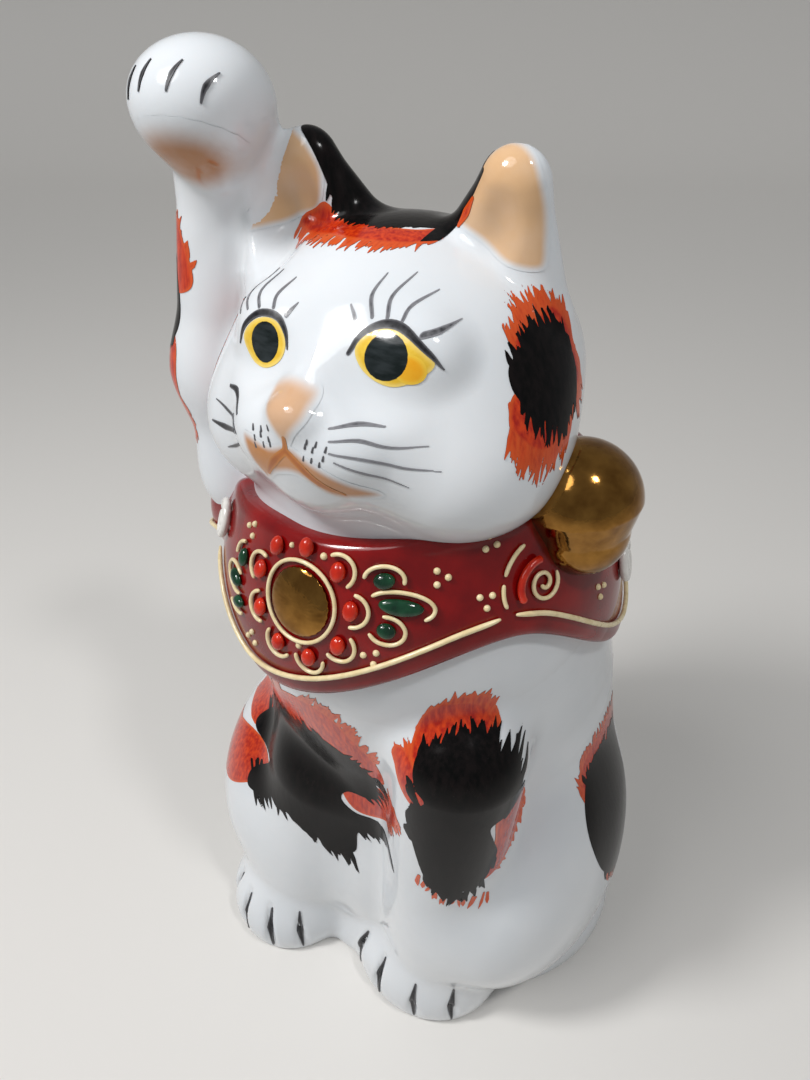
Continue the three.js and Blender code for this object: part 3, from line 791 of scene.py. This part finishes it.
def paint_cheeks():
    """Black spots with red fringes low on both sides of the head."""
    left = sheet((34, -24, 190), 65, 5)
    paint("cheek_left_red", left, [
        closed((-7, 6), (-5, 9.5), (0, 10.5), (4, 12), (6.6, 10), (9, 4), (9.4, -1), (6, -3), (0, 4)),
        closed((-11.6, -4), (-9, 0.5), (-4, -2), (2, -3), (1, -8), (-3, -10), (-7, -9.5), (-10, -7)),
    ], [
        bristles([(-7.5, 6), (-3, 10), (4, 11.5), (8.5, 6)], 98, 4.5, 0.9, 40, 21),
        bristles([(-11.5, -4), (-7, -10), (-2, -10), (4, -8)], -112, 6.0, 1.0, 44, 22),
        bristles([(8.5, 4), (9.4, -1), (7, -6)], -80, 4.5, 0.9, 16, 29),
    ], RED_LIFT, IRON_RED, slot="red_enamel")
    paint("cheek_left_black", left, [
        closed((-3.4, 7.5), (0, 9), (4, 8.6), (7.4, 4), (7.6, -1), (4, -6), (-0.5, -7), (-4, -4),
               (-8, -1.4),
               (-9.4, 1.8), (-8.4, 5)),
    ], [
        bristles([(-8, 4), (-2, 8), (3, 9), (7, 5)], 96, 3.6, 0.9, 30, 23),
        bristles([(-8, 0), (-4, -4), (1, -6.5), (7, -2)], -108, 5.0, 1.0, 34, 24),
    ], BLACK_LIFT, BLACK)
    right = sheet((-35, -24, 181), -62, 0)
    paint("cheek_right_red", right, [oval((4, 0), 7.5, 11)], [
        bristles([(0, 10), (4, 11), (8, 9)], 80, 3.6, 0.9, 22, 25),
        bristles([(0, -10), (4, -11), (8, -9)], -80, 3.6, 0.9, 22, 26),
    ], RED_LIFT, IRON_RED, slot="red_enamel", onto=head)
    paint("cheek_right_black", right, [oval((-0.5, 0), 6, 8)], [
        bristles([(-5, 6), (-1, 8), (4, 6)], 85, 3.0, 0.8, 18, 27),
        bristles([(-5, -6), (-1, -8), (4, -6)], -85, 3.0, 0.8, 18, 28),
    ], BLACK_LIFT, BLACK, onto=head)


def paint_chest():
    place = sheet((-8, -45, 82), 5, 15)
    red = [
        closed((-40, -4), (-37, 2), (-24, 14), (-10, 25), (0, 29), (8, 28), (13, 22), (18, 15), (20, 9),
               (12, 8), (0, 12), (-28, -6)),
        closed((6, -1), (12, 1.5), (18, 5), (23, 8), (26, 3), (20, -5), (14, -9), (9, -8)),
        closed((-46, -20), (-42, -12), (-32, -8), (-22, -9), (-20, -14), (-27, -20), (-38, -26),
               (-46, -25)),
    ]
    fringe = [
        bristles([(-40, 0), (-24, 14), (-8, 27)], 100, 5, 1.4, 34, 31),
        bristles([(0, 30), (9, 28), (18, 16)], 60, 4, 1.2, 26, 32),
        bristles([(22, 8), (26, 4), (20, -5)], -60, 3.5, 1.0, 14, 33),
        bristles([(-42, -12), (-46, -20), (-44, -26)], 190, 4.5, 1.4, 16, 34),
    ]
    paint("chest_red", place, red, fringe, RED_LIFT, IRON_RED, slot="red_enamel")
    black = [
        closed((-31, -7), (-28, -1), (-10, 14), (0, 16.5), (8, 14.5), (15, 9), (17, 1), (14, -2),
               (8, -2.5), (6, -6), (10, -10), (17, -10),
               (21, -14), (14, -16), (10, -18), (9, -26), (2, -26), (-6, -21), (-13, -16), (-20, -20),
               (-27, -21), (-27, -16), (-20, -9)),
    ]
    ragged = [
        bristles([(-28, 0), (-10, 13), (4, 15)], 105, 5.0, 1.3, 36, 35),
        bristles([(9, 13), (16, 4)], 40, 5.0, 1.2, 16, 36),
        bristles([(-26, -18), (-12, -15), (-4, -21), (3, -26), (9, -27)], -62, 7.5, 1.6, 40, 37),
        bristles([(9, -16), (18, -12), (21, -14)], -48, 5.5, 1.3, 20, 38),
        bristles([(13, -2), (17, 3), (20, 8)], -30, 5.0, 1.2, 12, 39),
    ]
    paint("chest_black", place, black, ragged, BLACK_LIFT, BLACK)


def paint_foreleg():
    place = sheet((33, -48, 95), 28, 10)
    red = [
        closed((-10.5, 16), (-10, 24), (-7, 29.5), (-2, 31), (3, 30), (6, 26), (7, 20), (0, 20)),
        closed((-15, 17), (-12, 18), (-9, 14), (-6, 9), (-10, 5), (-13.5, 9)),
        closed((12, 8), (15, 0), (15.5, -10), (13, -18), (7, -22), (4, -18), (8, -8), (8, 2)),
    ]
    fringe = [
        bristles([(-10, 22), (-5, 29), (3, 30.5), (7, 23)], 75, 4, 1.5, 26, 41),
        bristles([(-14.5, 14), (-11, 18)], 105, 3.5, 1.1, 10, 42),
        bristles([(14, 4), (15.5, -10), (9, -20)], -70, 3.5, 1.1, 20, 43),
        bristles([(-9, -22), (-3, -27), (4, -30), (8, -30)], -100, 3, 0.9, 14, 44, spread=20),
    ]
    paint("foreleg_red", place, red, fringe, RED_LIFT, IRON_RED, slot="red_enamel")
    black = [
        closed((-10.5, 15), (-9, 19.5), (-4, 22), (1, 22.5), (6, 21), (10.5, 16.5), (12.5, 9),
               (10.5, 2.5), (6.8, 0), (7.8, -6), (9, -13),
               (5.5, -20), (2, -24), (-1, -28), (-4, -24), (-7.5, -20), (-10.5, -8), (-12, 2),
               (-8, 8), (-9.8, 11)),
    ]
    ragged = [
        bristles([(-9, 17), (0, 21), (6, 20)], 88, 6.0, 1.3, 34, 45),
        bristles([(6, 20), (11, 13), (11.5, 4)], 68, 6.0, 1.3, 26, 46),
        bristles([(-8, -18), (-3, -24), (3, -24), (8, -14)], -88, 6.0, 1.3, 26, 47),
        bristles([(-11, 12), (-9.5, 4), (-11.5, -6)], 112, 4.0, 1.2, 18, 48),
    ]
    paint("foreleg_black", place, black, ragged, BLACK_LIFT, BLACK)


def paint_haunch():
    place = sheet((50, 0, 62), 75, 10)
    red = [
        closed((-10, 12), (-7, 20), (4, 24), (16, 22), (18, 14), (4, 12), (-6, 8)),
        closed((-10, -12), (-3, -20), (4, -24), (12, -21), (8, -14), (-2, -12)),
    ]
    fringe = [
        bristles([(-11, 10), (-7, 20), (4, 24), (16, 22)], 100, 4, 1.3, 30, 51),
        bristles([(-8, -16), (3, -24), (13, -20)], -80, 4, 1.3, 24, 52),
    ]
    paint("haunch_red", place, red, fringe, RED_LIFT, IRON_RED, slot="red_enamel")
    black = [closed((16, 16), (7, 16.5), (-3, 17.5), (-10, 11), (-13.5, 1), (-11, -11), (-4, -19),
                    (4, -22), (12, -19), (17, -8), (18, 4))]
    ragged = [
        bristles([(-8, 14), (4, 17), (15, 16)], 95, 3.4, 1.2, 24, 53),
        bristles([(-9, -13), (2, -22), (13, -18)], -85, 4, 1.2, 24, 54),
    ]
    paint("haunch_black", place, black, ragged, BLACK_LIFT, BLACK)


def paint_arm():
    place = sheet((-53.6, -23.6, 185), -57, 0)
    red = [
        closed((-3, 12), (1, 20), (4, 23), (7.5, 18), (8.6, 12), (7, 9), (2, 8)),
        closed((-3, -3), (2, -1), (5.6, -4), (6.4, -11), (5, -18), (4, -26), (0, -24), (-4, -14)),
    ]
    fringe = [
        bristles([(-1, 18), (4, 22), (8, 14)], 70, 3.6, 1.2, 18, 61),
        bristles([(5.6, -16), (3, -26), (-3, -18)], -85, 3.6, 1.2, 18, 62),
    ]
    paint("arm_red", place, red, fringe, RED_LIFT, IRON_RED, slot="red_enamel")
    black = [closed((0, 14), (3, 12.5), (4.6, 6), (4, -1), (-1, -4), (-8, -2), (-10, 6), (-6, 13))]
    ragged = [
        bristles([(-8, 11), (-1, 14), (3, 12)], 90, 3, 1.1, 14, 63),
        bristles([(-9, -1), (-2, -4), (4, -1)], -90, 3, 1.1, 14, 64),
    ]
    paint("arm_black", place, black, ragged, BLACK_LIFT, BLACK)
    paw = sheet((-34, -38, 234), 0, 20)
    claws = [stroke([(x + 0.8, 3.2 - d), (x, 0.8 - d), (x - 0.4, -2 - d)], [0.2, 0.8, 0.3])
             for x, d in ((-8.6, 1), (-4.6, 0), (1.4, -0.4), (6.6, 0.4))]
    paint("paw_claws", paw, [], claws, TOP_LIFT, LINE_BLACK, grain=0.2)
    palm = sheet((-33, -32, 208), 10, -35)
    # The palm's brown is painted shade and painted reflection under the paw, partly its own tint
    paint("palm_shade_and_reflection", palm, [oval((-2.5, 12), 11, 9.6)], [], WASH_LIFT, PALM_SHADE)


def paint_back():
    """Patches on the hidden side: one over the shoulders, one by the tail, and a black tail tip."""
    for name, place, wide, tall, seed in (
        ("back_upper", sheet((-12, 40, 100), 185, 20), 17, 15, 71),
        ("back_lower", sheet((-26, 48, 46), 205, 5), 14, 13, 81),
    ):
        red = [oval((0, 2), wide, tall)]
        fringe = [
            bristles([(-wide, 2), (0, tall + 2), (wide, 2)], 90, 6, 1.6, 40, seed),
            bristles([(-wide, 2), (0, 2 - tall), (wide, 2)], -90, 6, 1.6, 40, seed + 1),
        ]
        paint(name + "_red", place, red, fringe, RED_LIFT, IRON_RED, grain=0.4, slot="red_enamel")
        black = [oval((2, -1), wide * 0.72, tall * 0.78)]
        ragged = [
            bristles([(-wide * 0.6, 0), (2, tall * 0.7), (wide * 0.8, 0)], 90, 4, 1.4, 30, seed + 2),
            bristles([(-wide * 0.6, -2), (2, -tall * 0.85), (wide * 0.8, -2)], -90, 4, 1.4, 30, seed + 3),
        ]
        paint(name + "_black", place, black, ragged, BLACK_LIFT, BLACK, grain=0.4)
    tail = sheet((12, 62, 24), 180, 10)
    paint("tail_black", tail, [oval((0, 2), 7.5, 8)],
          [bristles([(-6, 8), (0, 10), (6, 8)], 90, 4, 1.2, 20, 91)],
          BLACK_LIFT, BLACK, grain=0.4)


def paint_toes():
    for number, (x, y, wide) in enumerate(FEET):
        for turn in TOE_TURNS:
            a = math.radians(turn)
            toe = sheet((x + (wide - 18) * math.sin(a), y, 0), turn)
            claw = stroke([(0.6, 19), (0, 11), (0.4, 3)], [0.5, 2.0, 0.6])
            paint(f"claw_{number}_{turn}", toe, [], [claw], CLAW_LIFT, LINE_BLACK, grain=0.25)


paint_crown()
paint_cheeks()
paint_chest()
paint_foreleg()
paint_haunch()
paint_arm()
paint_back()
paint_toes()


# ---------------------------------------------------------------- small trim from the CAD

def smoothed(node, look, rounds=2):
    """Copy of a faceted CAD piece with its facets rounded off."""
    mesh = frame["nodes"][node].data.copy()
    obj = bpy.data.objects.new(node + "_smooth", mesh)
    bpy.context.scene.collection.objects.link(obj)
    mesh.materials.clear()
    mesh.materials.append(look)
    weld = obj.modifiers.new("weld", "WELD")
    weld.merge_threshold = 0.01 * MM
    soft = obj.modifiers.new("soft", "SUBSURF")
    soft.levels = soft.render_levels = rounds
    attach(obj, "root")
    bpy.context.view_layer.update()
    graph = bpy.context.evaluated_depsgraph_get()
    obj.data = bpy.data.meshes.new_from_object(obj.evaluated_get(graph))
    obj.modifiers.clear()
    obj.data.shade_smooth()
    return stand_for(obj, node)


BIG = {"body_shell", "head_shell", "raised_arm", "bib", "bell"}
WHITE_TRAILS = {"rosette_left", "rosette_right"}
for part in frame["record"]["subparts"]:
    node, slot_name = part["node"], part["material_slot"]
    if node not in BIG:
        smoothed(node, RAISED_WHITE if node in WHITE_TRAILS else SLOT_LOOKS[slot_name])


def on_bib(degrees, height):
    """Point of the bib's outer face at a bearing and height."""
    turn = math.radians(degrees)
    outward = np.array((math.sin(turn), -math.cos(turn), 0.0))
    gone = 80.0
    for _ in range(40):
        gone -= float(bib((np.array((0, CHEST_Y, height)) + outward * gone)[None])[0]) * 0.9
    return np.array((0, CHEST_Y, height)) + outward * gone


def round_stud(middle, radius, columns=16, rows=8):
    """Vertices and faces of a small ball."""
    spots = [middle + (0, 0, radius * side) for side in (1, -1)]
    for row in range(1, rows):
        tilt = math.pi * row / rows
        for i in range(columns):
            turn = 2 * math.pi * i / columns
            away = (math.sin(tilt) * math.cos(turn), math.sin(tilt) * math.sin(turn), math.cos(tilt))
            spots.append(middle + radius * np.array(away))
    faces = []
    last = 2 + (rows - 2) * columns
    for i in range(columns):
        j = (i + 1) % columns
        faces.append((0, 2 + i, 2 + j))
        faces.append((1, last + j, last + i))
        for row in range(rows - 2):
            low = 2 + row * columns
            faces.append((low + i, low + columns + i, low + columns + j, low + j))
    return spots, faces


def dot_groups():
    """Threes of small slip dots scattered over the bib, and three on the gold disc's ring of beads."""
    groups = [(34, 156), (17.6, 139.4), (47.4, 161.4), (45.4, 150.8), (-19.2, 131.4), (83, 142.3),
              (-25, 154.8)]
    spots = [(-7.3, 157.1, 0.6), (3.2, 157.4, 0.75), (-1.4, 137.4, 0.75)]
    for turned_by, (degrees, height) in enumerate(groups):
        for corner in range(3):
            turn = math.radians(120 * corner + 50 * turned_by)
            spots.append((degrees + 1.9 * math.cos(turn), height + 1.5 * math.sin(turn), 0.7))
    for number, (degrees, height, radius) in enumerate(spots):
        vertices, faces = round_stud(on_bib(degrees, height), radius)
        new_object(f"slip_dot_{number}", vertices, faces, CREAM)


dot_groups()


# ---------------------------------------------------------------- bell

def gold_bell():
    """Big plain bell, pressed round against the neck and the bib."""
    low, high = ([v / MM for v in corner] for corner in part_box("bell"))
    middle = (high[0] - BELL_R, low[1] + BELL_R, high[2] - BELL_R)

    def pear(p):
        mouth = np.add(middle, BELL_MOUTH_AT)
        return limb(p, middle, mouth, BELL_R, BELL_MOUTH_R)

    box = [[v - side * (BELL_R + 4) for v in middle] for side in (1, -1)]
    stand_for(sculpt("gold_bell", pear, *box, GOLD, voxel=VOXEL * 0.75), "bell")


gold_bell()


# ---------------------------------------------------------------- stage, light and camera

VIEW_AT = math.radians(31)      # the camera stands this far round to the cat's left
LOOKS_DOWN = math.radians(34.4)
CAMERA_AT = (79.1, -148.3, 245.5)
LENS = 26.4
LAMPS_AIM_Z = 120               # height on the cat that the lamps face


def studio():
    stage_material, _, surface = node_material("studio paper", 0.6)
    surface.inputs["Base Color"].default_value = (0.74, 0.72, 0.69, 1)
    reach, rise, bend = 1.2, 1.5, 0.5
    sweep = [(-reach, 0.0)]
    for step in range(13):
        turn = math.radians(90 * step / 12)
        sweep.append((reach + bend * math.sin(turn), bend - bend * math.cos(turn)))
    sweep.append((reach + bend, rise))
    vertices = [(side, y, z) for y, z in sweep for side in (-3.0, 3.0)]
    faces = [(2 * i, 2 * i + 1, 2 * i + 3, 2 * i + 2) for i in range(len(sweep) - 1)]
    floor_mesh = bpy.data.meshes.new("floor")
    floor_mesh.from_pydata(vertices, [], faces)
    floor_mesh.materials.append(stage_material)
    floor_mesh.shade_smooth()
    floor = bpy.data.objects.new("floor", floor_mesh)
    floor.rotation_euler = (0, 0, VIEW_AT)
    bpy.context.scene.collection.objects.link(floor)
    world = bpy.data.worlds.new("studio")
    bpy.context.scene.world = world
    world.use_nodes = True
    world.node_tree.nodes["Background"].inputs["Color"].default_value = (0.78, 0.8, 0.82, 1)
    world.node_tree.nodes["Background"].inputs["Strength"].default_value = 0.33
    lamps = (
        ("key", "AREA", (-230, -300, 560), 1.8, 110),
        ("window", "AREA", (260, -120, 620), 0.8, 60),
        ("sky", "SUN", (-260, -420, 700), 0.72, None),
    )
    for name, kind, place, power, width in lamps:
        light = bpy.data.lights.new(name, kind)
        light.energy = power
        if width:
            light.shape = "DISK"
            light.size = width * MM
        else:
            light.angle = math.radians(30)
        lamp = bpy.data.objects.new(name, light)
        lamp.location = [v * MM for v in place]
        lamp.rotation_mode = "QUATERNION"
        aim = Vector((0, 0, LAMPS_AIM_Z * MM)) - lamp.location
        lamp.rotation_quaternion = aim.to_track_quat("-Z", "Y")
        bpy.context.scene.collection.objects.link(lamp)
    bpy.context.scene.view_settings.view_transform = "Standard"


def camera():
    """Phone held just above the cat's ears, a hand's breadth off its left front."""
    data = bpy.data.cameras.new("camera")
    data.sensor_width = 36
    data.lens = LENS
    data.clip_start = 0.01
    eye = bpy.data.objects.new("camera", data)
    eye.location = [v * MM for v in CAMERA_AT]
    eye.rotation_euler = (math.radians(90) - LOOKS_DOWN, 0, VIEW_AT)
    bpy.context.scene.collection.objects.link(eye)
    bpy.context.scene.camera = eye


studio()
camera()
